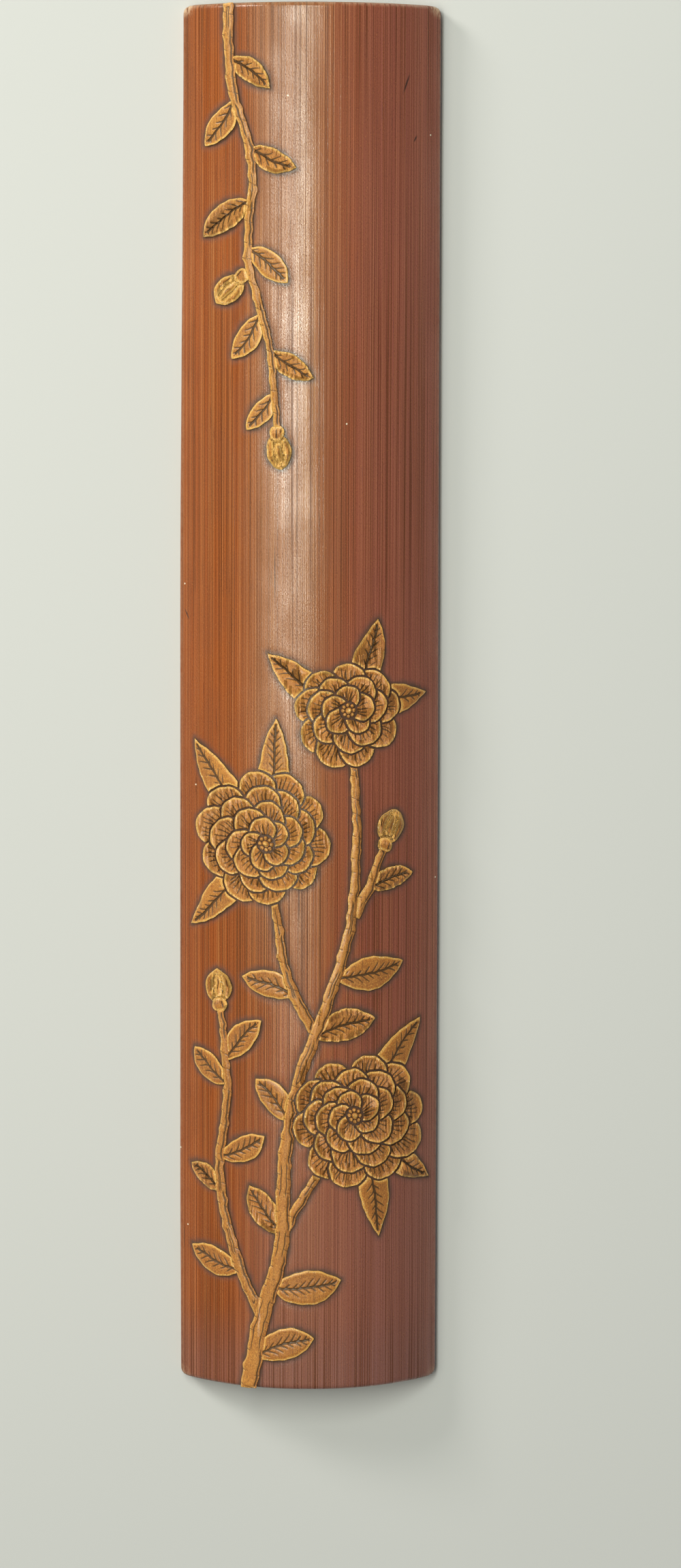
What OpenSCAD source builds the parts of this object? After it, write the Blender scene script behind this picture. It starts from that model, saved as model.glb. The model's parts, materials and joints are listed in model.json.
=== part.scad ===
// Carved bamboo wrist rest: a split of bamboo culm that lies on its two long edges, crown up.
// A flowering spray and a hanging twig are left standing in its outer skin, and the ground
// around them is cut down to the wall of the culm.
// X runs across the rest, Y along the culm and Z up. The origin is on the desk, under the
// middle of the rest. All sizes are in millimetres and all angles in degrees.

/* [Culm] */
// Length of the rest along the culm
rest_length = 300; // [270:1:340]
// Width over the two long edges
rest_width = 56.5; // [54:0.5:64]
// Radius of the culm over its skin
culm_radius = 37; // [34:0.5:60]
// Thickness of the culm under its skin, lining included
wall_thickness = 7; // [4:0.25:10]
// Thickness of the pale lining on the hollow side
lining_thickness = 1.2; // [0.5:0.1:2.5]
// Height of the upright faces along the two long edges
edge_height = 3.2; // [1:0.1:8]
// Radius of the four corners seen from above
corner_radius = 2.5; // [1:0.25:6]

/* [Carving] */
// Thickness of the skin that is left standing
skin_thickness = 0.6; // [0.45:0.05:1.2]
// Width of the cut between two pieces of skin
groove_width = 0.45; // [0.3:0.05:0.6]
// Depth of the rib that is cut along a leaf
rib_depth = 0.35; // [0.15:0.05:0.4]
// Distance from the tip of a leaf to the end of its rib
rib_end_length = 1.2; // [0.5:0.1:2]

/* [Spray] */
// Height of the middle of the top bloom over the foot of the rest
spray_height = 148; // [142:1:156]
// Length of the twig that hangs from the head of the rest
twig_length = 90; // [84:1:100]
// Width of the main stem that the petals of the right bloom lie over
petal_overlap_width = 1.2; // [0.4:0.1:1.6]

/* [Blooms] */
// Number of petals in the outer ring
outer_count = 10; // [8:1:12]
// Distance from the middle of a bloom to the middles of its outer petals
outer_ring = 10.4; // [9.6:0.1:11.2]
// Radius of an outer petal
outer_petal = 4.2; // [3.6:0.1:4.6]
// Number of petals in the second ring
second_count = 9; // [7:1:11]
// Distance from the middle of a bloom to the middles of its second petals
second_ring = 7.6; // [7:0.1:8.4]
// Radius of a petal in the second ring
second_petal = 3.9; // [3.4:0.1:4.4]
// Number of petals in the third ring
third_count = 7; // [6:1:9]
// Distance from the middle of a bloom to the middles of its third petals
third_ring = 5; // [4.5:0.1:5.6]
// Radius of a petal in the third ring
third_petal = 3.5; // [3:0.1:4]
// Number of petals in the inner ring
inner_count = 5; // [4:1:6]
// Distance from the middle of a bloom to the middles of its inner petals
inner_ring = 2.9; // [2.5:0.1:3.3]
// Radius of an inner petal
inner_petal = 2.7; // [2.4:0.1:3.1]
// Distance from the middle of a ring of petals to the middle of the ring around it
ring_offset = 0.5; // [0:0.1:0.8]
// Radius of the heart that the inner petals stand around
heart_radius = 2.1; // [1.8:0.1:2.5]
// Number of stamens around the pistil
stamen_count = 8; // [6:1:10]
// Radius of the head of a stamen
stamen_radius = 0.4; // [0.3:0.02:0.5]
// Radius of the pistil
pistil_radius = 0.7; // [0.5:0.05:0.9]

/* [Stems] */
// Width of the main stem at its root
main_stem_width = 3.6; // [2.6:0.1:4.4]
// Width of the side stem and the branches at their roots
branch_width = 2.3; // [1.6:0.1:3]
// Width of the hanging twig at its root
twig_width = 2; // [1.4:0.1:2.8]
// Width of every stem at its tip
tip_width = 1.3; // [0.9:0.1:1.6]

/* [Leaves and buds] */
// Length of a full leaf of the spray
leaf_length = 14; // [12:0.1:16]
// Width of a full leaf of the spray
leaf_width = 6.8; // [5:0.1:8]
// Length of leaf that shows past the petals it lies behind
tucked_length = 11.5; // [9:0.1:13]
// Length of a full leaf of the twig
twig_leaf_length = 11.5; // [9:0.1:13]
// Width of a full leaf of the twig
twig_leaf_width = 5.2; // [3.6:0.1:6]
// Length of a bud over its calyx
bud_length = 8; // [6:0.1:9]
// Width of a bud
bud_width = 5.6; // [4:0.1:6.4]
// Radius of the calyx at the foot of a bud
calyx_radius = 1.6; // [1.2:0.1:2]
// How far a calyx sits over the end of its stem
calyx_overlap_length = 0.3; // [0.1:0.05:0.6]

/* [Hidden] */
$fn = 128;
// Cuts reach past the part by this much
past = 1;

// Radii of the culm, from the skin inwards
ground_radius = culm_radius - skin_thickness;
hollow_radius = ground_radius - wall_thickness;
lining_radius = hollow_radius + lining_thickness;
// The crown stands over the long edges by the rise of the arc
crown_rise = ground_radius - sqrt(pow(ground_radius, 2) - pow(rest_width / 2, 2));
axis_height = edge_height + crown_rise - ground_radius;
crown_height = axis_height + culm_radius;

skin_gold = [0.80, 0.53, 0.19];
ground_brown = [0.52, 0.25, 0.12];
lining_straw = [0.78, 0.62, 0.40];

// The spray is drawn in hundredths of its height, from the foot of the rest upwards, and the
// twig in hundredths of its length, from the head downwards
function on_spray(p) = p * spray_height / 100 - [0, rest_length / 2];
function on_twig(p) = [p.x, -p.y] * twig_length / 100 + [0, rest_length / 2];

function along(bearing) = [cos(bearing), sin(bearing)];

// A smooth line through points, where t counts the points from 0
function smooth_point(points, t) = let (
    i = min(floor(t), len(points) - 2),
    f = t - i,
    b = points[i],
    c = points[i + 1],
    a = i > 0 ? points[i - 1] : 2 * b - c,
    d = i + 2 < len(points) ? points[i + 2] : 2 * c - b
) (2 * b + (c - a) * f + (2 * a - 5 * b + 4 * c - d) * f * f + (3 * b - a - 3 * c + d) * f * f * f) / 2;

// A stem tapers evenly from its root to its tip
stem_steps = 4;
bearing_step = 0.05;
function stem_end(stem) = len(stem[4]) - 1;
function stem_middle(stem, t) = smooth_point(stem[4], t);
function stem_bearing(stem, t) = let (
    before = stem_middle(stem, max(0, t - bearing_step)),
    after = stem_middle(stem, min(stem_end(stem), t + bearing_step))
) atan2(after.y - before.y, after.x - before.x);
function stem_width(stem, t) = stem[1] + (tip_width - stem[1]) * t / stem_end(stem);
function stem_side(stem, t, side) =
    stem_middle(stem, t) + side * stem_width(stem, t) / 2 * along(stem_bearing(stem, t) + 90);

// Rings of petals: name, number of petals, distance of their middles, radius of a petal
rings = [
    ["outer_petals", outer_count, outer_ring, outer_petal],
    ["second_petals", second_count, second_ring, second_petal],
    ["third_petals", third_count, third_ring, third_petal],
    ["inner_petals", inner_count, inner_ring, inner_petal],
];
last_ring = len(rings) - 1;
function ring_reach(r) = rings[r][2] + rings[r][3];

// Sides of a stem, seen along it from root to tip
left = 1;
right = -1;
tip = 0;

// A stem holds its name, its width at the root, the length and width of its leaves, and its points
main_stem = ["main_stem", main_stem_width, leaf_length, leaf_width,
    [for (p = [[-9, -1.5], [-7, 10], [-4, 21], [-3.5, 34], [-1.5, 46], [2.5, 57],
        [6, 68.5], [7, 81], [6.6, 91], [5.5, 100]]) on_spray(p)]];

// The right bloom sits beside the main stem, and its petals lie over a little of the stem's width
right_station = 3.65;
right_bearing = stem_bearing(main_stem, right_station) - 90;
right_middle = stem_side(main_stem, right_station, right)
    + (ring_reach(0) - petal_overlap_width) * along(right_bearing);
left_middle = on_spray([-6.8, 82]);
top_middle = main_stem[4][len(main_stem[4]) - 1];

// Blooms: name, middle, turn of the petals, bearing the bloom faces, first ring it shows
blooms = [
    ["right_bloom", right_middle, 10, 120, 0],
    ["left_bloom", left_middle, 28, 300, 0],
    ["top_bloom", top_middle, 5, 75, 1],
];
function bloom_called(name) = blooms[search([name], blooms)[0]];

// A stem that carries a bloom ends at the middle of the bloom
stems = [
    main_stem,
    ["side_stem", branch_width, leaf_length, leaf_width,
        [for (p = [[-6.8, 10.5], [-11, 20.5], [-13.2, 32], [-12, 44], [-13, 56]]) on_spray(p)]],
    ["right_branch", branch_width, leaf_length, leaf_width,
        concat([for (p = [[-3.9, 23], [0, 30]]) on_spray(p)], [right_middle])],
    ["left_branch", branch_width, leaf_length, leaf_width,
        concat([for (p = [[1.2, 53], [-3, 61], [-5, 72]]) on_spray(p)], [left_middle])],
    ["bud_branch", branch_width, leaf_length, leaf_width,
        [for (p = [[6.8, 70.5], [9.2, 75.5], [10.8, 80]]) on_spray(p)]],
    ["hanging_twig", twig_width, twig_leaf_length, twig_leaf_width,
        [for (p = [[-20, -2], [-19, 19], [-14, 38], [-15, 60], [-10, 80], [-8, 100]]) on_twig(p)]],
];
function stem_called(name) = stems[search([name], stems)[0]];

// Leaves on stems: stem, station along its points, side, angle from the stem, share of the
// full size, bend of the rib as a share of the width
stem_leaves = [
    ["main_stem", 0.55, right, 62, 1, 0.1],
    ["main_stem", 1.5, right, 66, 1.1, -0.12],
    ["main_stem", 2.2, left, 38, 0.9, 0.1],
    ["main_stem", 3.5, left, 48, 0.85, -0.1],
    ["main_stem", 4.6, right, 52, 1, 0.12],
    ["main_stem", 5.4, right, 60, 1.05, -0.12],
    ["side_stem", 0.7, left, 45, 0.85, 0.1],
    ["side_stem", 1.75, left, 42, 0.62, -0.1],
    ["side_stem", 2.2, right, 58, 0.8, -0.12],
    ["side_stem", 3.1, left, 42, 0.75, 0.1],
    ["side_stem", 3.4, right, 46, 0.85, 0.12],
    ["left_branch", 0.75, left, 46, 0.85, -0.12],
    ["bud_branch", 0.8, right, 48, 0.72, 0.1],
    ["hanging_twig", 0.7, left, 50, 0.95, 0.1],
    ["hanging_twig", 1.2, right, 50, 1, 0.1],
    ["hanging_twig", 1.8, left, 52, 0.95, -0.1],
    ["hanging_twig", 2.4, right, 48, 1.1, -0.12],
    ["hanging_twig", 2.9, left, 48, 1, 0.12],
    ["hanging_twig", 3.65, right, 50, 1, 0.1],
    ["hanging_twig", 4.1, left, 50, 0.95, -0.1],
    ["hanging_twig", 4.6, right, 42, 0.85, 0.1],
];

// Leaves behind blooms: bloom, bearing, share of the length that shows, bend of the rib
tucked_leaves = [
    ["right_bloom", -80, 1, 0.12],
    ["right_bloom", -42, 0.55, -0.1],
    ["right_bloom", 58, 0.95, 0.12],
    ["left_bloom", 126, 0.95, 0.12],
    ["left_bloom", 84, 1, -0.12],
    ["left_bloom", 232, 0.95, 0.12],
    ["top_bloom", 142, 0.9, 0.1],
    ["top_bloom", 72, 0.9, -0.1],
    ["top_bloom", 14, 0.55, 0.1],
];

// Buds: stem, station along its points, side, angle from the stem
buds = [
    ["side_stem", 4, tip, 0],
    ["bud_branch", 2, tip, 0],
    ["hanging_twig", 5, tip, 0],
    ["hanging_twig", 3.15, right, 55],
];
// The two bracts of a bud part along ribs that bend by this share of its width
bract_bend = 0.17;

// Pieces of one kind on one stem or bloom are numbered in the order of their list
function number_of(i, list) = 1 + len([for (k = [0:1:i - 1]) if (list[k][0] == list[i][0]) k]);
function piece_name(i, list, kind) = str(list[i][0], "_", kind, "_", number_of(i, list));
function ring_name(bloom, r) = str(bloom[0], "_", rings[r][0]);
function stamen_name(bloom) = str(bloom[0], "_stamens");

module stem_band(stem) {
    stations = [for (k = [0:stem_steps * stem_end(stem)]) k / stem_steps];
    backwards = [for (k = [len(stations) - 1:-1:0]) stations[k]];
    polygon(concat(
        [for (t = stations) stem_side(stem, t, left)],
        [for (t = backwards) stem_side(stem, t, right)]
    ));
}

// Petals differ a little: each sways along its ring and grows or shrinks by these shares
sway_share = 0.12;
growth_share = 0.06;
petal_phase = 137;
ring_phase = 71;
function petal_wave(bloom, r, k) = sin(petal_phase * k + ring_phase * r + bloom[2]);
function petal_bearing(bloom, r, k) =
    bloom[2] * (r + 1) + (k + sway_share * petal_wave(bloom, r, k)) * 360 / rings[r][1];
function ring_middle(bloom, r) = bloom[1] + (r - bloom[4]) * ring_offset * along(bloom[3]);
function petal_middle(bloom, r, k) = ring_middle(bloom, r) + rings[r][2] * along(petal_bearing(bloom, r, k));
function petal_radius(bloom, r, k) = rings[r][3] * (1 + growth_share * petal_wave(bloom, r, k + 2));
function heart_middle(bloom) = ring_middle(bloom, last_ring);
function bloom_reach(bloom) = ring_reach(bloom[4]);

module petal_disc(bloom, r, k, grow = 0) {
    translate(petal_middle(bloom, r, k)) circle(petal_radius(bloom, r, k) + grow);
}

module ring_cover(bloom, r) {
    for (k = [0:rings[r][1] - 1]) petal_disc(bloom, r, k, groove_width);
}

// What lies behind a bloom stops a cut short of its first ring of petals
module bloom_cover(bloom) {
    ring_cover(bloom, bloom[4]);
    translate(bloom[1]) circle(rings[bloom[4]][2]);
}

// Only the blooms within reach of a piece cut it
module covers_near(place, reach) {
    for (bloom = blooms)
        if (norm(bloom[1] - place) < bloom_reach(bloom) + reach) bloom_cover(bloom);
}

// A blade is the space between two arcs that share a foot and a tip
function arc_radius(chord, rise) = (chord * chord / 4 + rise * rise) / (2 * rise);

module arc_disc(chord, rise, grow = 0) {
    radius = arc_radius(chord, rise);
    translate([chord / 2, rise - radius]) circle(abs(radius) + grow);
}

module blade(length, width, bend) {
    intersection() {
        arc_disc(length, bend + width / 2);
        arc_disc(length, bend - width / 2);
    }
}

module blade_rib(length, width, bend, rib) {
    intersection() {
        blade(length, width, bend);
        translate([0, -width]) square([length - rib_end_length, 2 * width]);
        difference() {
            arc_disc(length, rib, groove_width / 2);
            arc_disc(length, rib, -groove_width / 2);
        }
    }
}

// The outline of the rest seen from above
module plan_outline() {
    corner = [rest_width / 2 - corner_radius, rest_length / 2 - corner_radius];
    square([2 * corner.x, rest_length], center = true);
    square([rest_width, 2 * corner.y], center = true);
    for (x = [-1, 1], y = [-1, 1]) translate([x * corner.x, y * corner.y]) circle(corner_radius);
}

// The stuff of the culm between two radii, under an outline seen from above
module culm_layer(outer, inner) {
    intersection() {
        translate([0, 0, axis_height]) rotate([90, 0, 0]) difference() {
            cylinder(h = rest_length + 2 * past, r = outer, center = true);
            cylinder(h = rest_length + 4 * past, r = inner, center = true);
        }
        linear_extrude(crown_height + 2 * past) children();
    }
}

// Skin stands on the ground and stops at the edges of the rest
module standing_skin() {
    color(skin_gold) culm_layer(culm_radius, ground_radius) intersection() {
        plan_outline();
        union() children();
    }
}

module rib_cut() {
    culm_layer(culm_radius + past, culm_radius - rib_depth) children();
}

module culm_wall() {
    color(ground_brown) culm_layer(ground_radius, lining_radius) plan_outline();
}

module pith_lining() {
    color(lining_straw) culm_layer(lining_radius, hollow_radius) plan_outline();
}

// Petals lie over one another like tiles: each stops short of its neighbour and of the ring inside
module petals(bloom, r) {
    count = rings[r][1];
    standing_skin() for (k = [0:count - 1]) difference() {
        petal_disc(bloom, r, k);
        petal_disc(bloom, r, (k + 1) % count, groove_width);
        if (r < last_ring) ring_cover(bloom, r + 1);
        translate(heart_middle(bloom)) circle(heart_radius);
    }
}

module stamens(bloom) {
    stamen_ring = heart_radius - groove_width - stamen_radius;
    standing_skin() translate(heart_middle(bloom)) {
        circle(pistil_radius);
        for (k = [0:stamen_count - 1])
            rotate(k * 360 / stamen_count) translate([stamen_ring, 0]) circle(stamen_radius);
    }
}

// Branches start against the main stem, and every stem passes behind the blooms
module stem_skin(stem) {
    standing_skin() difference() {
        stem_band(stem);
        if (stem[0] != main_stem[0]) stem_band(main_stem);
        for (bloom = blooms) bloom_cover(bloom);
    }
}

module stem_leaf(leaf) {
    stem = stem_called(leaf[0]);
    foot = stem_middle(stem, leaf[1]);
    bearing = stem_bearing(stem, leaf[1]) + leaf[2] * leaf[3];
    length = stem[2] * leaf[4];
    width = stem[3] * leaf[4];
    bend = width * leaf[5];
    difference() {
        standing_skin() difference() {
            translate(foot) rotate(bearing) blade(length, width, bend);
            stem_band(stem);
            covers_near(foot, length);
        }
        rib_cut() translate(foot) rotate(bearing) blade_rib(length, width, bend, bend);
    }
}

module tucked_leaf(leaf) {
    bloom = bloom_called(leaf[0]);
    length = bloom_reach(bloom) + tucked_length * leaf[2];
    bend = leaf_width * leaf[3];
    difference() {
        standing_skin() difference() {
            translate(bloom[1]) rotate(leaf[1]) blade(length, leaf_width, bend);
            covers_near(bloom[1], length);
        }
        rib_cut() translate(bloom[1]) rotate(leaf[1]) blade_rib(length, leaf_width, bend, bend);
    }
}

module bud_skin(bud) {
    stem = stem_called(bud[0]);
    bearing = stem_bearing(stem, bud[1]) + bud[2] * bud[3];
    foot = bud[2] == tip ? stem_middle(stem, bud[1]) : stem_side(stem, bud[1], bud[2]);
    calyx = foot + (calyx_radius - calyx_overlap_length) * along(bearing);
    difference() {
        standing_skin() difference() {
            union() {
                translate(calyx) circle(calyx_radius);
                translate(calyx) rotate(bearing) blade(bud_length, bud_width, 0);
            }
            stem_band(stem);
        }
        rib_cut() translate(calyx) {
            difference() {
                circle(calyx_radius + groove_width);
                circle(calyx_radius);
            }
            rotate(bearing) for (side = [left, right]) difference() {
                blade_rib(bud_length, bud_width, 0, side * bract_bend * bud_width);
                circle(calyx_radius);
            }
        }
    }
}

culm_wall();
pith_lining();
for (bloom = blooms, r = [bloom[4]:last_ring])
    petals(bloom, r);
for (bloom = blooms)
    stamens(bloom);
for (stem = stems)
    stem_skin(stem);
for (i = [0:len(stem_leaves) - 1])
    stem_leaf(stem_leaves[i]);
for (i = [0:len(tucked_leaves) - 1])
    tucked_leaf(tucked_leaves[i]);
for (i = [0:len(buds) - 1])
    bud_skin(buds[i]);
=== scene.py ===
# %% [markdown]
# # A carved bamboo wrist rest
# A wrist rest keeps the sleeve off wet ink. This one is a split of bamboo that stands on its two long
# edges with its rounded side up. The carver leaves a flowering spray standing in the thin golden skin
# and scrapes everything around it down to the brown fibres, so the picture is barely half a millimetre
# high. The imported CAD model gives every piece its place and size, and this lesson gives each piece its
# worked surface. Nothing moves, so every piece rides on the one body.

# %% Load the frame
import json
import math
from types import SimpleNamespace

import bpy
import numpy as np
from mathutils import Matrix, kdtree
from mathutils.bvhtree import BVHTree
from mathutils.geometry import convex_hull_2d


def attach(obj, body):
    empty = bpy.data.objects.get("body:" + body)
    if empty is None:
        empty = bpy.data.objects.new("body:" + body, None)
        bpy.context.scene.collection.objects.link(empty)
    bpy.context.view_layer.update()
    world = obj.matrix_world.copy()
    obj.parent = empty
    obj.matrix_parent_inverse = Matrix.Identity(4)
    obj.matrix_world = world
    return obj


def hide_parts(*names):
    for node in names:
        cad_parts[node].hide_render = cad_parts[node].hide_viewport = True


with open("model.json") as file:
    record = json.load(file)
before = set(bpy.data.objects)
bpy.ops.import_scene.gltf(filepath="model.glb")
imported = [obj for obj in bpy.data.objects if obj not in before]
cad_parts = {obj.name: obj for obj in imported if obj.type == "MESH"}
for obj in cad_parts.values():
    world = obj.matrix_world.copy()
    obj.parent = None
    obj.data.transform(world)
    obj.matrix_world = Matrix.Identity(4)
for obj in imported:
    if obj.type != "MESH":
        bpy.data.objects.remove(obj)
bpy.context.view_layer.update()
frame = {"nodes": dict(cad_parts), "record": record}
print("CAD nodes:", len(frame["nodes"]))

# %% [markdown]
# ## The sizes that everything else follows
# A culm is a tube, so the outer face of the rest is part of a cylinder. Its radius could be typed in
# again, but then it could drift away from the CAD model. It is measured instead: the width, the crown
# and the height of the long edges fix one circle. From here on lengths are in millimetres, and each mesh
# goes back to metres at the end.

# %% Measure the culm
MM = 0.001


def get_points(obj):
    """The vertices of an object as an array."""
    points = np.empty(len(obj.data.vertices) * 3)
    obj.data.vertices.foreach_get("co", points)
    return points.reshape(-1, 3)


def node_points(name):
    """The vertices of a CAD node, in millimetres."""
    return get_points(frame["nodes"][name]) / MM


wall_points = node_points("culm_wall")
half_width, half_length, crown = wall_points.max(axis=0)
on_edge = wall_points[:, 0] > half_width - 0.01
edge_height = wall_points[on_edge, 2].max()
arch_rise = crown - edge_height
ground_radius = (arch_rise ** 2 + half_width ** 2) / (2 * arch_rise)
axis_height = crown - ground_radius
print("ground radius", round(ground_radius, 2), "axis height", round(axis_height, 2))

# %% Measure the layers


def axis_distance(points):
    """How far each point lies from the axis of the culm."""
    return np.hypot(points[:, 0], points[:, 2] - axis_height)


def unrolled(points):
    """Places on the unrolled culm: the arc length from the crown, and the length along the culm."""
    angle = np.arctan2(points[:, 0], points[:, 2] - axis_height)
    return np.column_stack([ground_radius * angle, points[:, 1]])


def sink(points, depth):
    """Moves points straight towards the axis of the culm."""
    share = depth / axis_distance(points)
    points[:, 0] -= share * points[:, 0]
    points[:, 2] -= share * (points[:, 2] - axis_height)


subparts = frame["record"]["subparts"]
skin_nodes = sorted(row["node"] for row in subparts if row["material_slot"] == "skin")
lining_distance = axis_distance(node_points("pith_lining"))
hollow_radius = lining_distance.min()
lining_radius = lining_distance.max()
skin_radius = max(axis_distance(node_points(name)).max() for name in skin_nodes)
skin_height = skin_radius - ground_radius
print(len(skin_nodes), "pieces of skin stand", round(skin_height, 2), "mm over the ground")
print("lining from", round(hollow_radius, 2), "to", round(lining_radius, 2))

# %% [markdown]
# ## The camera
# The photograph looks almost straight down with a long lens, a little from the head end, and the rest
# lies left of and above the middle of the picture. A tilt alone would move the rest in the frame but
# would also bend its sides together, so the lens is shifted, as on a view camera. The turn is written
# as angles, because an aiming helper has no clear upward direction when it looks straight down.

# %% Camera
PICTURE_LONG_SIDE = 2303
rest_offset_px = (-44, 114)
camera_height = 890
camera_ahead = 81.6
picture_length = 335.9
camera_tilt = -math.atan2(camera_ahead, camera_height)
camera_roll = math.radians(0.16)
sensor_width = 36

bpy.ops.object.camera_add(
    location=(0, camera_ahead * MM, (crown + camera_height) * MM),
    rotation=(camera_tilt, 0, camera_roll),
)
camera = bpy.context.object
camera.data.sensor_width = sensor_width
camera.data.lens = sensor_width * camera_height / picture_length
camera.data.shift_x = -rest_offset_px[0] / PICTURE_LONG_SIDE
camera.data.shift_y = -rest_offset_px[1] / PICTURE_LONG_SIDE
bpy.context.scene.camera = camera
print("lens", round(camera.data.lens, 1), "mm")

# %% [markdown]
# ## Light
# Polished bamboo shows its light as a long pale streak. In the photograph the streak runs just left of
# the crown, stops sharply on its right and fades out to the left and towards the foot. So the soft boxes
# hang over the rest side by side, with the brightest over the head, and weaker ones on its left, on its
# right and towards the foot. The streak leans a little, so its boxes are turned. One more box stands low
# at the upper left, because only slanting light makes a low relief stand out.

# %% Soft boxes
scene = bpy.context.scene
scene.view_settings.view_transform = "Standard"


def soft_box(name, middle, size, power, tint=(1.0, 0.93, 0.82), turn=(0, 0, 0)):
    """A rectangular lamp of a given size in metres, turned by angles in degrees."""
    turn = [math.radians(angle) for angle in turn]
    bpy.ops.object.light_add(type="AREA", location=middle, rotation=turn)
    lamp = bpy.context.object
    lamp.name = name
    lamp.data.shape = "RECTANGLE"
    lamp.data.size = size[0]
    lamp.data.size_y = size[1]
    lamp.data.energy = power
    lamp.data.color = tint
    print(name, "of", size, "m gives", power, "W")


streak_turn = (0, 0, -9)
soft_box("crown_box", (-0.165, 0.30, 1.0), (0.17, 0.64), 6.3, (0.96, 0.97, 0.87), streak_turn)
soft_box("foot_box", (-0.188, -0.14, 1.0), (0.19, 0.24), 0.9, (1.0, 0.91, 0.72))
soft_box("border_box", (-0.057, 0.25, 1.0), (0.06, 0.74), 0.75, (1.0, 0.80, 0.28), streak_turn)
soft_box("shoulder_box", (-0.334, 0.25, 1.0), (0.15, 0.74), 1.0, (1.0, 0.94, 0.74), streak_turn)
soft_box("flank_box", (-0.610, 0.22, 1.0), (0.38, 0.80), 1.8, (1.0, 0.93, 0.72))
soft_box("key_box", (-0.90, 0.75, 0.62), (0.35, 0.35), 8.4, turn=(0, -62, -40))

# %% [markdown]
# ## Small helpers for materials
# Every finish here is a chain of a few node kinds, so short helpers keep the chains readable: they add a
# node, do a sum, pick a part of a value's range, mix colours, lay tones over a colour and draw out noise.
# A number is set on the socket itself, and an output socket is linked.

# %% Nodes


def start_material(name):
    """A new material with its node tree and its shader."""
    material = bpy.data.materials.new(name)
    material.use_nodes = True
    tree = material.node_tree
    return material, tree, tree.nodes["Principled BSDF"]


def plug_in(tree, node, inputs):
    """Sets or links the inputs of a node."""
    for name, value in inputs.items():
        if isinstance(value, bpy.types.NodeSocket):
            tree.links.new(value, node.inputs[name])
        else:
            node.inputs[name].default_value = value


def add_node(tree, kind, inputs, **settings):
    """Adds a node, sets its options, and sets or links its inputs."""
    made = tree.nodes.new(kind)
    for name, value in settings.items():
        setattr(made, name, value)
    plug_in(tree, made, inputs)
    return made


def attribute(tree, name, output="Fac"):
    """The output of a value that is stored on the mesh."""
    return add_node(tree, "ShaderNodeAttribute", {}, attribute_name=name).outputs[output]


def object_place(tree):
    """The place of a point on its object, in metres."""
    return add_node(tree, "ShaderNodeTexCoord", {}).outputs["Object"]


print("nodes can be added and linked")

# %% Sums and ranges


def maths(tree, operation, first, second=0.0):
    """The result of an operation on one value or two."""
    return add_node(tree, "ShaderNodeMath", {0: first, 1: second}, operation=operation).outputs[0]


def times(tree, first, *others):
    """The product of some values."""
    for other in others:
        first = maths(tree, "MULTIPLY", first, other)
    return first


def window(tree, value, low, high, to_low=0.0, to_high=1.0):
    """Eases a value from one end of a range to the other."""
    inputs = {"Value": value, "From Min": low, "From Max": high, "To Min": to_low, "To Max": to_high}
    return add_node(tree, "ShaderNodeMapRange", inputs, interpolation_type="SMOOTHSTEP").outputs[0]


print("values can be worked out")

# %% Colours, noise and normals


def mix_colour(tree, factor, first, second):
    """Mixes two colours, each a socket or three numbers."""
    colours = (first, second)
    first, second = [c if isinstance(c, bpy.types.NodeSocket) else (*c, 1) for c in colours]
    inputs = {0: factor, 6: first, 7: second}
    return add_node(tree, "ShaderNodeMix", inputs, data_type="RGBA").outputs[2]


def lay(tree, colour, layers):
    """Lays tones over a colour in turn, each with its strength and the amounts that it depends on."""
    for tone, strength, *amounts in layers.values():
        colour = mix_colour(tree, times(tree, *amounts, strength), colour, tone)
    return colour


def grain(tree, vector, stretch, detail=2.0, roughness=0.5, offset=(0, 0, 0), turn=0.0):
    """Noise that is squeezed or drawn out along each axis of a vector, and may be turned."""
    inputs = {"Vector": vector, "Scale": stretch, "Location": offset, "Rotation": (0, 0, turn)}
    placed = add_node(tree, "ShaderNodeMapping", inputs)
    inputs = {"Vector": placed.outputs[0], "Scale": 1.0, "Detail": detail, "Roughness": roughness}
    return add_node(tree, "ShaderNodeTexNoise", inputs).outputs["Fac"]


def tilt(tree, height, strength, depth):
    """A normal that leans as if the surface rose by a height, of a depth in metres."""
    inputs = {"Strength": strength, "Distance": depth, "Height": height}
    return add_node(tree, "ShaderNodeBump", inputs).outputs[0]


print("colours and noise can be mixed")

# %% [markdown]
# ## Room and floor
# The room gives a soft grey light. The floor is plain and pale, and fades into the backdrop.

# %% Room light
BACKDROP = (0.62, 0.63, 0.62, 1)
room_strength = 0.13
world = bpy.data.worlds.new("studio_room")
scene.world = world
world.use_nodes = True
room = world.node_tree
room.nodes.clear()
room_light = {"Color": (0.93, 0.96, 1.0, 1), "Strength": room_strength}
room_glow = add_node(room, "ShaderNodeBackground", room_light).outputs[0]
backdrop = add_node(room, "ShaderNodeBackground", {"Color": BACKDROP}).outputs[0]
seen = add_node(room, "ShaderNodeLightPath", {}).outputs["Is Camera Ray"]
choice = add_node(room, "ShaderNodeMixShader", {"Fac": seen, 1: room_glow, 2: backdrop})
add_node(room, "ShaderNodeOutputWorld", {"Surface": choice.outputs[0]})
print("room strength", room_strength)

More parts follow.
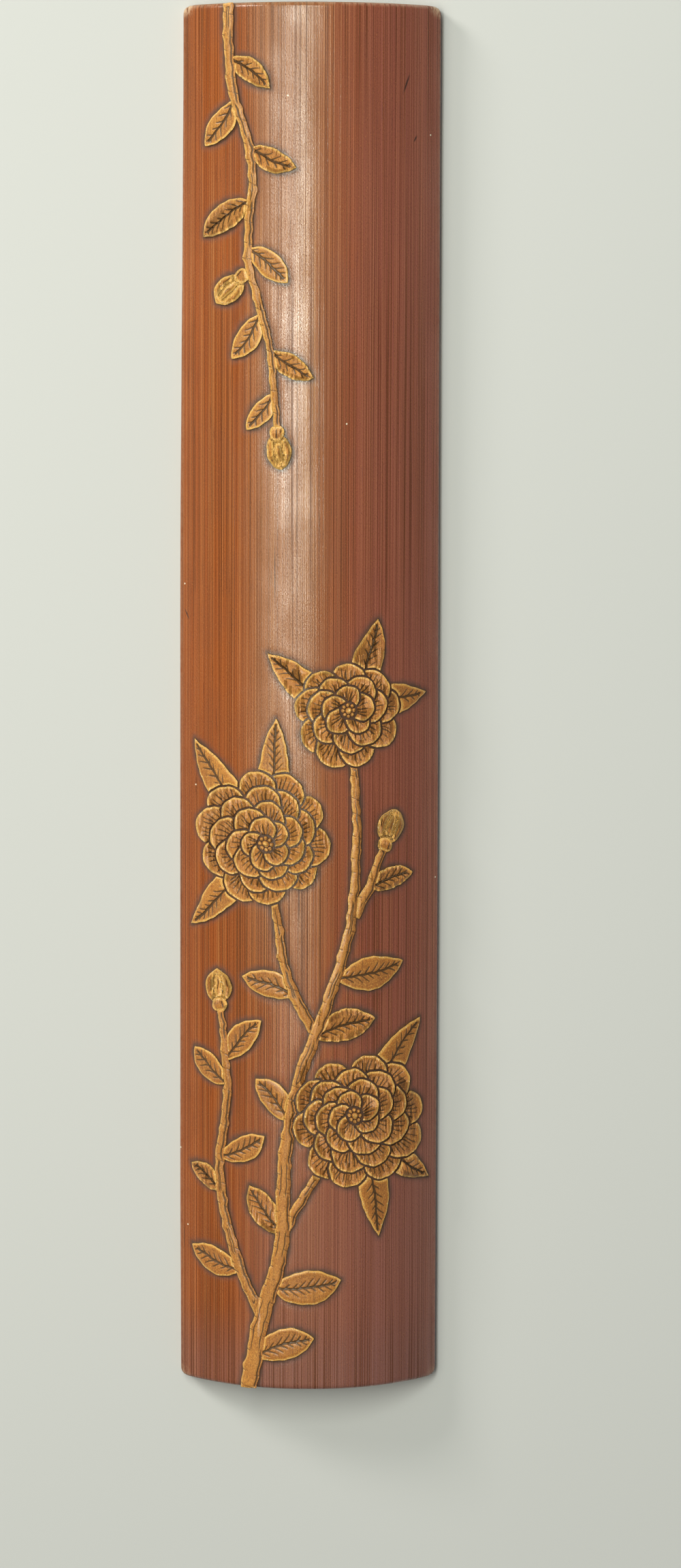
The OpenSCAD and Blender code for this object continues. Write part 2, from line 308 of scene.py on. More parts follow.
# %% Floor
fade_start = 0.20
fade_end = 0.60
bpy.ops.mesh.primitive_plane_add(size=6)
floor = bpy.context.object
floor.name = "studio_floor"
floor_paper, floor_tree, floor_shader = start_material("floor_paper")
floor_place = object_place(floor_tree)
floor_mottle = grain(floor_tree, floor_place, (3, 3, 3), 3.0)
floor_tone = mix_colour(floor_tree, floor_mottle, (0.59, 0.625, 0.65), (0.63, 0.665, 0.69))
floor_look = {"Base Color": floor_tone, "Roughness": 0.9, "Specular IOR Level": 0.1}
plug_in(floor_tree, floor_shader, floor_look)
far_off = add_node(floor_tree, "ShaderNodeVectorMath", {0: floor_place}, operation="LENGTH")
far_off = window(floor_tree, far_off.outputs["Value"], fade_start, fade_end)
looked_at = add_node(floor_tree, "ShaderNodeLightPath", {}).outputs["Is Camera Ray"]
fade = times(floor_tree, far_off, looked_at)
plain = add_node(floor_tree, "ShaderNodeEmission", {"Color": BACKDROP}).outputs[0]
faded = {"Fac": fade, 1: floor_shader.outputs[0], 2: plain}
faded = add_node(floor_tree, "ShaderNodeMixShader", faded).outputs[0]
plug_in(floor_tree, floor_tree.nodes["Material Output"], {"Surface": faded})
floor.data.materials.append(floor_paper)
print("floor is", tuple(floor.dimensions[:2]), "m")

# %% [markdown]
# ## The culm wall
# The wall is the body of the rest: a curved bar of fibres with a flat foot along each long edge. It
# could stay the CAD solid, but a smooth solid has too few points to be worked on. Its cross-section is
# drawn once as a ring of points, extruded by one short step, and an Array modifier lays that step along
# the whole length. Only the outer arc needs many points, because only that face is carved.

# %% The ring of the cross-section
ARC_STEPS = 144
HOLLOW_STEPS = 12
WALL_STATIONS = 520
foot_chamfer = 0.4


def arc_points(radius, start, end, steps):
    """Points of an arc about the culm's axis, by angle from the upright."""
    angles = np.linspace(start, end, steps + 1)
    return [(radius * math.sin(a), axis_height + radius * math.cos(a)) for a in angles]


edge_angle = math.asin(half_width / ground_radius)
foot_angle = math.acos(-axis_height / lining_radius)
right_side = [
    (half_width, edge_height * 0.6),
    (half_width, foot_chamfer),
    (half_width - foot_chamfer, 0),
]
left_side = [(-x, z) for x, z in reversed(right_side)]
outer_arc = arc_points(ground_radius, -edge_angle, edge_angle, ARC_STEPS)
inner_arc = arc_points(lining_radius, foot_angle, -foot_angle, HOLLOW_STEPS)
wall_ring = outer_arc + right_side + inner_arc + left_side
print("the ring has", len(wall_ring), "points")

# %% Selecting and shaping helpers


def only(obj):
    """Selects one object and makes it the active one."""
    bpy.ops.object.select_all(action="DESELECT")
    obj.select_set(True)
    bpy.context.view_layer.objects.active = obj


def apply_modifier(obj, kind, **settings):
    """Adds a modifier with these settings and applies it."""
    only(obj)
    modifier = obj.modifiers.new(kind.lower(), kind)
    for name, value in settings.items():
        setattr(modifier, name, value)
    bpy.ops.object.modifier_apply(modifier=modifier.name)


def on_all(operator, **settings):
    """Runs a mesh operator on every point of the active object."""
    bpy.ops.object.mode_set(mode="EDIT")
    bpy.ops.mesh.select_all(action="SELECT")
    operator(**settings)
    bpy.ops.object.mode_set(mode="OBJECT")


def set_points(obj, points):
    """Puts the vertices of an object where the array says."""
    obj.data.vertices.foreach_set("co", points.ravel())
    obj.data.update()


def keep_value(obj, name, values):
    """Stores one number for each vertex, which a material can read."""
    stored = obj.data.attributes.new(name, "FLOAT", "POINT")
    stored.data.foreach_set("value", np.asarray(values, dtype=np.float32))


def ease(low, high, value):
    """0 below low, 1 above high, and a smooth rise between."""
    t = np.clip((value - low) / (high - low), 0, 1)
    return t * t * (3 - 2 * t)


print("shaping helpers are ready")

# %% From ring to bar


def bar_from_ring(name, ring, stations):
    """A closed bar along Y, in millimetres, from the ring of its cross-section."""
    step = 2 * half_length / stations
    bpy.ops.mesh.primitive_circle_add(vertices=len(ring), radius=10)
    bar = bpy.context.object
    bar.name = name
    set_points(bar, np.array([(x, -half_length, z) for x, z in ring]))
    on_all(bpy.ops.mesh.extrude_region_move, TRANSFORM_OT_translate={"value": (0, step, 0)})
    laid = {"use_relative_offset": False, "use_constant_offset": True, "use_merge_vertices": True}
    laid["constant_offset_displace"] = (0, step, 0)
    apply_modifier(bar, "ARRAY", count=stations, merge_threshold=step * 0.02, **laid)
    on_all(bpy.ops.mesh.fill_holes, sides=0)
    on_all(bpy.ops.mesh.normals_make_consistent, inside=False)
    print(name, "has", len(bar.data.vertices), "points and", len(bar.data.polygons), "faces")
    return bar


wall = bar_from_ring("culm_wall_worked", wall_ring, WALL_STATIONS)

# %% [markdown]
# ## Working the wall by hand
# A bar from a machine looks dead. The real one has corners that hands have rounded, long edges that bow
# a little because the culm tapers, soft end edges, and a ground that is scraped by eye, a touch deeper
# beside the carving. All of that is less than a millimetre, so it is done by moving points in code.

# %% Ends, corners and long edges
corner_radius = 1.8
end_round = 0.9
end_spread = 1.5


def rounding(gap, radius):
    """How far a rounded edge has fallen away at a distance from its border."""
    inside = np.clip(radius - gap, 0, radius)
    return radius - np.sqrt(radius ** 2 - inside ** 2)


def crowd_to_ends(points):
    """Draws the stations together near both ends, where the edge is rounded."""
    gap = half_length - np.abs(points[:, 1])
    crowded = gap ** 2 / (gap + end_spread)
    whole = half_length ** 2 / (half_length + end_spread)
    points[:, 1] = np.sign(points[:, 1]) * half_length * (1 - crowded / whole)


points = get_points(wall)
on_arc = axis_distance(points) > ground_radius - 0.02
crowd_to_ends(points)
along = points[:, 1] / half_length
end_gap = half_length - np.abs(points[:, 1])
left_trim = 0.75 * ease(0.1, 1.05, along) + 0.2 * ease(0.7, 1.0, -along)
right_trim = 0.35 * ease(-0.5, 1.0, along)
corner = rounding(end_gap, corner_radius)
points[:, 0] = np.maximum(points[:, 0], -(half_width - left_trim - corner))
points[:, 0] = np.minimum(points[:, 0], half_width - right_trim - corner)
print("long edges are trimmed by up to", round(left_trim.max(), 2), "mm")

# %% Distance to the carving
skin_verts = []
skin_faces = []
for name in skin_nodes:
    first = len(skin_verts)
    skin_verts.extend(map(tuple, node_points(name)))
    for face in frame["nodes"][name].data.polygons:
        skin_faces.append([first + index for index in face.vertices])
skin_tree = BVHTree.FromPolygons(skin_verts, skin_faces)

far_gap = 9.0
carving_gap = np.full(len(points), far_gap)
for index in np.nonzero(on_arc)[0]:
    hit = skin_tree.find_nearest(points[index], far_gap)
    if hit[3] is not None:
        carving_gap[index] = hit[3]
print("points within 1 mm of the carving:", int((carving_gap < 1).sum()))

# %% Scrape the ground
beside_carving = 1 - ease(0.1, 1.7, carving_gap)
close_to_carving = 1 - ease(0.05, 0.75, carving_gap)
scrape_depth = 0.05
waver_depth = 0.03
waver_top = 2.5
sideways, lengthways = points[:, 0], points[:, 1]
waver = np.sin(0.31 * sideways + 0.8) * np.sin(0.021 * lengthways + 1.9)
waver += 0.6 * np.sin(0.55 * sideways - 0.013 * lengthways) * np.sin(0.047 * lengthways)
waver += 0.9 * np.sin(0.62 * sideways + 0.09 * lengthways) * np.sin(0.083 * lengthways + 0.5)
fall = scrape_depth * beside_carving + waver_depth * (waver_top - waver) + rounding(end_gap, end_round)
fall = np.where(on_arc, fall, 0)
distance = axis_distance(points)
sink(points, fall)
set_points(wall, points * MM)
print("the ground is scraped by up to", round(fall.max(), 2), "mm")

# %% What the finish needs to know about the wall
fibre_place = np.column_stack([unrolled(points), distance - ground_radius])
fibre = wall.data.attributes.new("fibre", "FLOAT_VECTOR", "POINT")
fibre.data.foreach_set("vector", fibre_place.astype(np.float32).ravel())

right_gap = half_width - right_trim - points[:, 0]
left_gap = half_width - left_trim + points[:, 0]
side_gap = np.minimum(right_gap, left_gap)
corner_gap = np.hypot(side_gap, end_gap)
head = points[:, 1] > 0
end_wear = 1 - ease(0.1, 0.9, end_gap)
arris = ease(edge_height - 0.9, edge_height - 0.1, points[:, 2])
side_wear = (1 - ease(0.1, 1.0, side_gap)) * arris
corner_wear = (1 - ease(0.6, 3.2, corner_gap)) * np.where(head, 1.0, 0.25)
worn = np.clip(0.35 * end_wear * head + 0.10 * side_wear + corner_wear, 0, 1)
# The halo and the outline darken the ground beside the carving: partly dirt and oil, partly painted shade
# in the recess.
keep_value(wall, "halo", beside_carving)
keep_value(wall, "outline", close_to_carving)
keep_value(wall, "worn", worn)
print("worn corner points:", int((worn > 0.7).sum()))

# %% [markdown]
# ## The finish of the ground
# Scraped and oiled bamboo is a warm orange brown, drawn lengthwise by its fibres: fine lines about half
# a millimetre apart, short dark dashes where a bundle was opened, and slow bands a few millimetres
# wide. Beside the carving the ground is darkened by dirt and oil and by painted shade, as a soft halo and
# a dark outline, and handling wears the head pale. Light is painted in too: a tan sheen beside the pale
# streak, partly a rubbed patina, and a cool grey reflection over the right side. A plain wood texture
# would have rings, so noise is drawn out along the fibre instead, on the unrolled surface. The finest
# dark lines are laid on last, so that the slow shading doesn't wash them out.

# %% Scratches


def scratch(tree, place, start, end, width):
    """1 along a thin straight scratch between two places on the unrolled ground, else 0."""
    run = np.subtract(end, start)
    length = float(np.hypot(*run))
    lead = (run[0] / length, run[1] / length, 0)
    side = (-lead[1], lead[0], 0)
    inputs = {0: place, 1: (*start, 0)}
    moved = add_node(tree, "ShaderNodeVectorMath", inputs, operation="SUBTRACT").outputs[0]
    reach, aside = [
        add_node(tree, "ShaderNodeVectorMath", {0: moved, 1: way}, operation="DOT_PRODUCT").outputs["Value"]
        for way in (lead, side)
    ]
    begun = window(tree, reach, 0, 0.4 * length)
    ended = window(tree, reach, length, 0.6 * length)
    near = window(tree, maths(tree, "ABSOLUTE", aside), width, 0.3 * width)
    return times(tree, begun, ended, near)


SCRATCHES = (
    ((20.6, 130.5), (22.8, 135.8), 0.30),
    ((23.6, 120.6), (24.7, 122.4), 0.26),
    ((-31.0, 20.5), (-29.2, 17.6), 0.22),
    ((-2.2, -33.0), (-2.1, -50.0), 0.13),
    ((-7.6, 36.0), (-7.5, 21.0), 0.12),
)
print(len(SCRATCHES), "scratches on the unrolled ground")

# %% Colours of the ground


def ground_colour(tree, place, noise, dry_line):
    """Warm brown fibres, darker beside the carving from dirt and painted shade, pale where hands wear them,
    with a painted sheen and a painted cool reflection.
    """
    across, along, _ = add_node(tree, "ShaderNodeSeparateXYZ", {"Vector": place}).outputs
    beside_streak = times(tree, window(tree, across, -19, -7), window(tree, across, 9, -1))
    wander = grain(tree, place, (0.35, 0.004, 1), 2.0, 0.5, (17, 3, 0))
    phase = maths(tree, "ADD", times(tree, across, 13.6), times(tree, wander, 24))
    row = window(tree, maths(tree, "SINE", phase), 0.1, 1.0)
    uneven = window(tree, grain(tree, place, (0.8, 0.5, 1), 2.0), 0.30, 0.62, 0.35, 1.0)
    sparse = add_node(tree, "ShaderNodeMapping", {"Vector": place, "Scale": (0.019, 0.019, 1)})
    inputs = {"Vector": sparse.outputs[0], "Scale": 1.0}
    chips = add_node(tree, "ShaderNodeTexVoronoi", inputs, voronoi_dimensions="2D")
    rubbed = grain(tree, place, (1.4, 0.5, 1), 3.0, 0.7, (4, 4, 0))

    fibres = window(tree, noise.lines, 0.34, 0.66)
    colour = mix_colour(tree, fibres, (0.292, 0.062, 0.004), (0.422, 0.122, 0.028))
    slow = {
        "bands": ((0.18, 0.048, 0.014), 0.24, window(tree, noise.bands, 0.56, 0.40)),
        "gilt": ((0.56, 0.235, 0.075), 0.55, window(tree, noise.gilt, 0.56, 0.68)),
        "dashes": ((0.050, 0.018, 0.011), 1.0, dry_line.dash),
        "clouds": ((0.16, 0.048, 0.024), 0.16, window(tree, noise.clouds, 0.58, 0.42)),
        # painted sheen: a tan band beside the pale streak, stronger towards the head, partly a rubbed
        # patina
        "rubbed_tan_and_painted_sheen": ((0.34, 0.192, 0.068), 1.0, beside_streak, window(tree, along, -85, -30, 0.05, 0.35)),
        # painted reflection: the right side is mixed towards a cool grey veil
        "painted_cool_reflection_right": ((0.335, 0.124, 0.126), 0.50, window(tree, across, -4, 18)),
        "low end": (
            (0.290, 0.148, 0.134), 0.45, window(tree, across, -19, -6), window(tree, along, -50, -130)
        ),
        "foot": ((0.225, 0.125, 0.122), 0.45, window(tree, along, -130, -147)),
    }
    fine = {
        "rows": ((0.165, 0.036, 0.003), 0.34, row),
        "threads": ((0.158, 0.036, 0.003), 0.50, window(tree, noise.threads, 0.52, 0.34)),
        "hairs": ((0.085, 0.024, 0.005), 1.0, dry_line.hair),
        "dark specks": ((0.090, 0.030, 0.018), 0.65, window(tree, noise.specks, 0.54, 0.70)),
        "light specks": ((0.66, 0.27, 0.070), 0.40, window(tree, noise.specks, 0.42, 0.28)),
        # halo and outline: painted shade in the recess beside the carving, together with dirt
        "halo": ((0.082, 0.052, 0.052), 0.58, attribute(tree, "halo"), uneven),
        "outline": ((0.084, 0.051, 0.034), 0.86, attribute(tree, "outline")),
    }
    for line in SCRATCHES:
        fine[line] = ((0.060, 0.026, 0.018), 1.0, scratch(tree, place, *line))
    fine["chips"] = ((0.85, 0.78, 0.62), 1.0, window(tree, chips.outputs["Distance"], 0.0042, 0.0026))
    worn = times(tree, attribute(tree, "worn"), window(tree, rubbed, 0.36, 0.58))
    fine["worn"] = ((0.70, 0.50, 0.33), 1.0, worn)
    return lay(tree, lay(tree, colour, slow), fine)


print("the ground has its colours")

# %% Oil on the ground


def ground_oil(tree, place, noise, dry_line):
    """How thick the oil lies: thin in clouds, on open fibres, on specks and near the long edges."""
    across = add_node(tree, "ShaderNodeSeparateXYZ", {"Vector": place}).outputs["X"]
    return times(
        tree,
        window(tree, noise.clouds, 0.36, 0.64, 0.50, 1.0),
        window(tree, maths(tree, "MAXIMUM", dry_line.hair, dry_line.dash), 0, 1, 1.0, 0.15),
        window(tree, noise.specks, 0.46, 0.60, 1.0, 0.16),
        window(tree, noise.lines, 0.30, 0.60, 0.55, 1.25),
        window(tree, maths(tree, "ABSOLUTE", across), 23, 31, 1.0, 0.3),
    )


print("the ground has its oil")

# %% Ground material


def ground_finish():
    """Brown fibrous ground, polished by use."""
    material, tree, shader = start_material("scraped_ground")
    place = attribute(tree, "fibre", "Vector")
    noise = SimpleNamespace(
        lines=grain(tree, place, (2.9, 0.004, 1), 2.0, 0.7),
        threads=grain(tree, place, (7.5, 0.010, 1), 1.0, 0.5, (3, 7, 0)),
        hairs=grain(tree, place, (4.2, 0.009, 1), 0.0, 0.5, (21, 5, 0)),
        gilt=grain(tree, place, (4.6, 0.007, 1), 0.0, 0.5, (37, 8, 0)),
        bands=grain(tree, place, (0.20, 0.0015, 1), 2.0, 0.5, (11, 2, 0)),
        dashes=grain(tree, place, (4.5, 0.09, 1), 1.0, 0.5, (5, 1, 0)),
        specks=grain(tree, place, (4.4, 2.7, 1), 3.0, 0.7, (8, 3, 0), 0.6),
        clouds=grain(tree, place, (0.10, 0.05, 1), 3.0, 0.6, (2, 9, 0)),
    )
    dry_line = SimpleNamespace(
        hair=times(tree, window(tree, noise.hairs, 0.57, 0.66), 0.64),
        dash=times(tree, window(tree, noise.dashes, 0.69, 0.75), 0.8),
    )
    gloss = window(tree, noise.clouds, 0.30, 0.70, 0.46, 0.30)
    ridges = maths(tree, "ADD", noise.lines, times(tree, noise.threads, 0.5))
    ridges = maths(tree, "ADD", ridges, times(tree, noise.specks, 0.5))
    look = {
        "Base Color": ground_colour(tree, place, noise, dry_line),
        "Roughness": mix_colour(tree, attribute(tree, "halo"), gloss, (0.75, 0.75, 0.75)),
        "Specular IOR Level": 0.30,
        "Normal": tilt(tree, ridges, 0.8, 0.00005),
        "Coat Weight": ground_oil(tree, place, noise, dry_line),
        "Coat Roughness": 0.12,
        "Coat IOR": 1.65,
        "Coat Normal": tilt(tree, ridges, 0.85, 0.00004),
    }
    plug_in(tree, shader, look)
    return material


ground_material = ground_finish()
print("ground finish has", len(ground_material.node_tree.nodes), "nodes")

# %% [markdown]
# ## The sawn ends
# A sawn end of bamboo shows its fibre bundles as dark dots in paler tissue, small and crowded under the
# skin and larger towards the hollow. A Voronoi texture gives dots at uneven distances, which is just
# what bundles look like from the end.

# %% End grain material


def end_finish():
    """Sawn end of the wall, with dark dots of fibre bundles."""
    material, tree, shader = start_material("sawn_end")
    place = object_place(tree)
    flat = add_node(tree, "ShaderNodeMapping", {"Vector": place, "Scale": (1500, 0, 1500)})
    inputs = {"Vector": flat.outputs[0], "Scale": 1.0, "Randomness": 0.8}
    cells = add_node(tree, "ShaderNodeTexVoronoi", inputs)
    dots = window(tree, cells.outputs["Distance"], 0.42, 0.22)
    stain = grain(tree, place, (160, 160, 160), 3.0)
    colour = mix_colour(tree, stain, (0.27, 0.115, 0.045), (0.42, 0.20, 0.085))
    look = {
        "Base Color": lay(tree, colour, {"dots": ((0.10, 0.038, 0.017), 0.8, dots)}),
        "Roughness": window(tree, stain, 0.3, 0.7, 0.52, 0.66),
        "Normal": tilt(tree, dots, 0.4, 0.00008),
    }
    plug_in(tree, shader, look)
    return material


end_material = end_finish()
print("end finish has", len(end_material.node_tree.nodes), "nodes")

# %% Dress the wall
sawn_facing = 0.9
smooth_angle = math.radians(42)


def dress_bar(bar, side_material, node):
    """Gives a bar its finishes, smooth shading and its place in the frame."""
    bar.data.materials.append(side_material)
    bar.data.materials.append(end_material)
    sawn = [int(abs(face.normal.y) > sawn_facing) for face in bar.data.polygons]
    bar.data.polygons.foreach_set("material_index", sawn)
    only(bar)
    bpy.ops.object.shade_smooth_by_angle(angle=smooth_angle)
    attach(bar, "root")
    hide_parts(node)
    print(bar.name, "has", sum(sawn), "sawn faces")


dress_bar(wall, ground_material, "culm_wall")

# %% [markdown]
# ## The lining of the hollow
# On the hollow side the wall keeps a thin, pale, papery layer. It lies against the wall, so only its
# underside and its four borders ever show. It is made the same way as the wall, from a coarser ring,
# and its finish is straw with faint lengthwise creases and a few brown stains.

# %% Lining
crease_height = 0.04
hollow_angle = math.acos(-axis_height / hollow_radius)
lining_ring = arc_points(lining_radius, -foot_angle, foot_angle, 36)
lining_ring += arc_points(hollow_radius, hollow_angle, -hollow_angle, 60)
lining = bar_from_ring("pith_lining_worked", lining_ring, 150)
lining_points = get_points(lining)
in_hollow = axis_distance(lining_points) < hollow_radius + 0.05
above_foot = lining_points[:, 2] > 0.5
sideways, lengthways = lining_points[:, 0], lining_points[:, 1]
crease = np.sin(sideways * 2.1) * np.sin(lengthways * 0.06 + sideways)
lining_points[:, 2] += np.where(in_hollow & above_foot, crease_height * crease, 0)
set_points(lining, lining_points * MM)

# %% Lining material


def lining_finish():
    """Straw-coloured inner layer with lengthwise creases."""
    material, tree, shader = start_material("straw_lining")
    place = object_place(tree)
    creases = grain(tree, place, (1400, 18, 600), 3.0, 0.6)
    bands = grain(tree, place, (220, 4, 120), 2.0)
    stains = grain(tree, place, (45, 22, 45), 4.0, 0.6)
    colour = mix_colour(tree, window(tree, creases, 0.3, 0.7), (0.40, 0.245, 0.110), (0.62, 0.43, 0.22))
    layers = {
        "bands": ((0.45, 0.27, 0.12), 0.4, window(tree, bands, 0.6, 0.4)),
        "stains": ((0.24, 0.115, 0.045), 0.6, window(tree, stains, 0.55, 0.75)),
    }
    look = {
        "Base Color": lay(tree, colour, layers),
        "Roughness": window(tree, creases, 0.3, 0.7, 0.62, 0.46),
        "Normal": tilt(tree, creases, 0.5, 0.0001),
    }
    plug_in(tree, shader, look)
    return material


dress_bar(lining, lining_finish(), "pith_lining")

# %% [markdown]
# ## From CAD outline to an island of skin
# Each piece of the spray starts as a copy of its CAD solid, so its outline is right to begin with. A
# flat plate with sharp sides doesn't look carved, though. The copy is merged, sunk a little into the
# ground so that no gap can show, and voxel remeshed, which gives it an even, fine net of points like
# clay. A few smoothing passes take the machine edge off. The rest is done with the knife, piece by piece.

# %% Copy, merge and sink
sink_depth = 0.3
VOXELS = {"petal": 0.12, "stamen": 0.08, "stem": 0.14, "leaf": 0.14, "bud": 0.13}


def island_copy(node):
    """A merged copy of a CAD node as a new object, in millimetres."""
    mesh = frame["nodes"][node].data.copy()
    mesh.transform(Matrix.Scale(1 / MM, 4))
    mesh.materials.clear()
    island = bpy.data.objects.new(node + "_carved", mesh)
    scene.collection.objects.link(island)
    only(island)
    on_all(bpy.ops.mesh.remove_doubles, threshold=0.001)
    points = get_points(island)
    on_ground = axis_distance(points) < ground_radius + 0.05
    sink(points, np.where(on_ground, sink_depth, 0))
    set_points(island, points)
    return island


def split_loose(island):
    """Parts an island into its separate pieces."""
    only(island)
    on_all(bpy.ops.mesh.separate, type="LOOSE")
    return sorted(bpy.context.selected_objects, key=lambda piece: piece.name)


def like_clay(piece, kind):
    """Gives a piece an even net of points and takes off the machine edge."""
    only(piece)
    piece.data.remesh_voxel_size = VOXELS[kind]
    piece.data.use_remesh_fix_poles = False
    bpy.ops.object.voxel_remesh()
    apply_modifier(piece, "SMOOTH", factor=0.5, iterations=3)


print("island helpers are ready")

# %% Survey of a piece


def nearest_on(flat, chosen):
    """For each point, its distance to the chosen points and which of them is nearest."""
    tree = kdtree.KDTree(len(chosen))
    for index in chosen:
        tree.insert((flat[index, 0], flat[index, 1], 0), int(index))
    tree.balance()
    hits = [tree.find((across, along, 0)) for across, along in flat]
    return np.array([hit[2] for hit in hits]), np.array([hit[1] for hit in hits])


def survey(piece):
    """Heights, unrolled places and distances to the outline, for every point of a piece."""
    points = get_points(piece)
    normals = np.empty(len(points) * 3)
    piece.data.vertex_normals.foreach_get("vector", normals)
    normals = normals.reshape(-1, 3)
    reach = axis_distance(points)
    up = (points - (0, 0, axis_height)) * (1, 0, 1) / reach[:, None]
    rise = reach - ground_radius
    facing = (normals * up).sum(axis=1)
    flat = unrolled(points)
    outline = np.nonzero((facing < 0.6) & (rise > 0.1) & (rise < 0.52))[0]
    found = SimpleNamespace(points=points, normals=normals, up=up, rise=rise, flat=flat, outline=outline)
    found.inset, found.nearest = nearest_on(flat, outline)
    found.top = ease(0.2, 0.5, rise)
    return found


def lay_along(places, middle, lead):
    """Distances from a middle, along a direction and across it."""
    across = np.array([-lead[1], lead[0]])
    return (places - middle) @ lead, (places - middle) @ across


def groove(offset, width):
    """A knife cut seen from its end: 1 in its middle, fading out to both sides."""
    return np.exp(-0.5 * (offset / width) ** 2)


print("survey helpers are ready")

# %% Carved heights
least_height = 0.1


def by_eye(points):
    """Moves points a little over the culm, the same way everywhere, as a line cut by eye wanders."""
    reach = axis_distance(points)
    across, along = unrolled(points).T
    drift = 0.12 * np.sin(0.57 * along + 0.4 * across) + 0.06 * np.sin(1.9 * along - 1.1 * across)
    slip = 0.12 * np.sin(0.71 * across - 0.3 * along + 1) + 0.06 * np.sin(2.2 * across + 0.9 * along)
    angle = (across + drift) / ground_radius
    along = np.clip(along + slip, -half_length, half_length)
    return np.column_stack([reach * np.sin(angle), along, axis_height + reach * np.cos(angle)])


def finish_carving(piece, found, height, cut, rim, thin):
    """Moves the top of a piece to its carved height and stores what the finish reads."""
    lift = found.top * (np.clip(height, least_height, skin_height) - skin_height)
    set_points(piece, by_eye(found.points + found.up * lift[:, None]))
    keep_value(piece, "cut", np.clip(cut, 0, 1) * ease(0.05, 0.18, found.rise))
    keep_value(piece, "rim", np.clip(rim, 0, 1))
    keep_value(piece, "thin", np.clip(thin, 0, 1))
    # The foot of each piece is darkened in the finish, partly dirt, partly painted shade where it meets the
    # ground.
    keep_value(piece, "foot", 1 - ease(0.02, 0.40, found.rise))


print("no top is carved lower than", least_height, "mm")

# %% [markdown]
# ## Petals
# A petal is a disc of skin that the next petal lies over. The knife leaves its rim standing, scoops the
# middle down towards the base, and rakes it with short strokes that fan out from the base. So a petal is
# described by the circle of its own rim, which is found again from the outline, and by the direction
# away from the middle of the bloom. The scoop and the strokes are then functions of those two.

# %% The circle of a petal's rim


def rim_circle(plan, middle):
    """Middle and radius of the circle through the outer rim of a petal."""
    hull = plan[convex_hull_2d(plan.tolist())]
    away = np.hypot(*(hull - middle).T)
    hull = hull[away >= np.quantile(away, 0.25)]
    for _ in range(4):
        terms = np.column_stack([hull, np.ones(len(hull))])
        a, b, c = np.linalg.lstsq(terms, -(hull ** 2).sum(axis=1), rcond=None)[0]
        centre = np.array([-a / 2, -b / 2])
        radius = math.sqrt(centre @ centre - c)
        miss = np.abs(np.hypot(*(hull - centre).T) - radius)
        if miss.max() < 0.05 or len(hull) < 8:
            break
        hull = hull[miss < np.quantile(miss, 0.8)]
    return centre, radius


print("a rim can be fitted by a circle")

# %% Strokes of the rake
rake_spacing = 0.9
rake_fan = 1.5
shortest_rake = 0.6


def rake(radius, root, along, swing, dice):
    """How deep each point of a petal lies in one of the strokes that fan out from its base."""
    pitch = rake_spacing / (1.35 * radius)
    count = int(rake_fan / pitch)
    cut = np.zeros(len(along))
    for stroke in range(count):
        angle = (stroke - (count - 1) / 2 + dice.uniform(-0.22, 0.22)) * pitch
        half_chord = math.sqrt(max(radius ** 2 - (root * math.sin(angle)) ** 2, 0))
        start = radius * dice.uniform(0.20, 0.60)
        end = root * math.cos(angle) + half_chord - dice.uniform(0.45, 1.15)
        if end - start < shortest_rake:
            continue
        taper = 1 - np.clip((along - start) / (end - start), 0, 1)
        mark = groove(along * np.sin(swing - angle), 0.085 + 0.08 * taper)
        mark *= ease(start - 0.3, start + 0.2, along) * (1 - ease(end - 0.5, end + 0.1, along))
        cut = np.maximum(cut, mark * dice.uniform(0.65, 1.0))
    return cut


print("strokes lie", rake_spacing, "mm apart")

# %% Carve a petal
SCOOPS = {"outer": 1.0, "second": 0.85, "third": 0.6, "inner": 0.4}
scoop_depth = 0.20
base_depth = 0.10
tuck_depth = 0.10
rake_depth = 0.16


def carve_petal(piece, middle, ring, dice):
    """Scoops a petal, leaves its rim standing and rakes it with strokes from its base."""
    top_points = get_points(piece)
    top_points = top_points[axis_distance(top_points) > skin_radius - 0.1]
    centre, radius = rim_circle(top_points[:, :2], middle)
    like_clay(piece, "petal")
    found = survey(piece)
    outward = (centre - middle) / np.hypot(*(centre - middle))
    ahead, aside = lay_along(found.points[:, :2], centre, outward)
    inside = radius - np.hypot(ahead, aside)
    scoop = ease(0.40, 1.05, inside) * SCOOPS[ring] * dice.uniform(0.7, 1.0)
    base = ease(-0.5 * radius, 1.0 * radius, -ahead)
    tuck = ease(-0.2 * radius, 0.9 * radius, aside)
    root = 0.95 * radius
    along = np.hypot(ahead + root, aside)
    cut = rake(radius, root, along, np.arctan2(aside, ahead + root), dice)
    height = skin_height - scoop_depth * scoop - base_depth * base - tuck_depth * tuck - rake_depth * cut
    rim = 1 - ease(0.22, 0.55, inside)
    thin = scoop * 0.62 + 0.15 * base
    finish_carving(piece, found, height, cut, rim, thin)


print("petals are ready to carve")

# %% [markdown]
# ## Stamens, stems, leaves and buds
# Stamens are small domes. Stems are rounded over and swell into small knots, with one long knife line
# along their right side, a few strokes beside it and some short nicks. A leaf swells between its outline
# and its rib, one half stands a little lower than the other, and slanting veins run from the rib towards
# the tip. A bud is a drop with strokes along it. All of them need only the distance to the outline and
# one direction, which the survey already gives.

# %% Carve a stamen
stamen_fall = 0.22


def carve_stamen(piece):
    """Rounds a stamen over."""
    like_clay(piece, "stamen")
    found = survey(piece)
    dome = ease(0.0, 0.45, found.inset)
    height = skin_height - stamen_fall * (1 - dome)
    # The top of the dome takes the bright rim colour, partly rubbing, partly a painted highlight.
    finish_carving(piece, found, height, np.zeros(len(dome)), dome, 0.2 * (1 - dome))


print("stamens are ready to carve")

# %% Carve a stem
stem_fall = 0.26
stem_cut_depth = 0.14
knot_spacing = 4.3
knot_length = 0.55


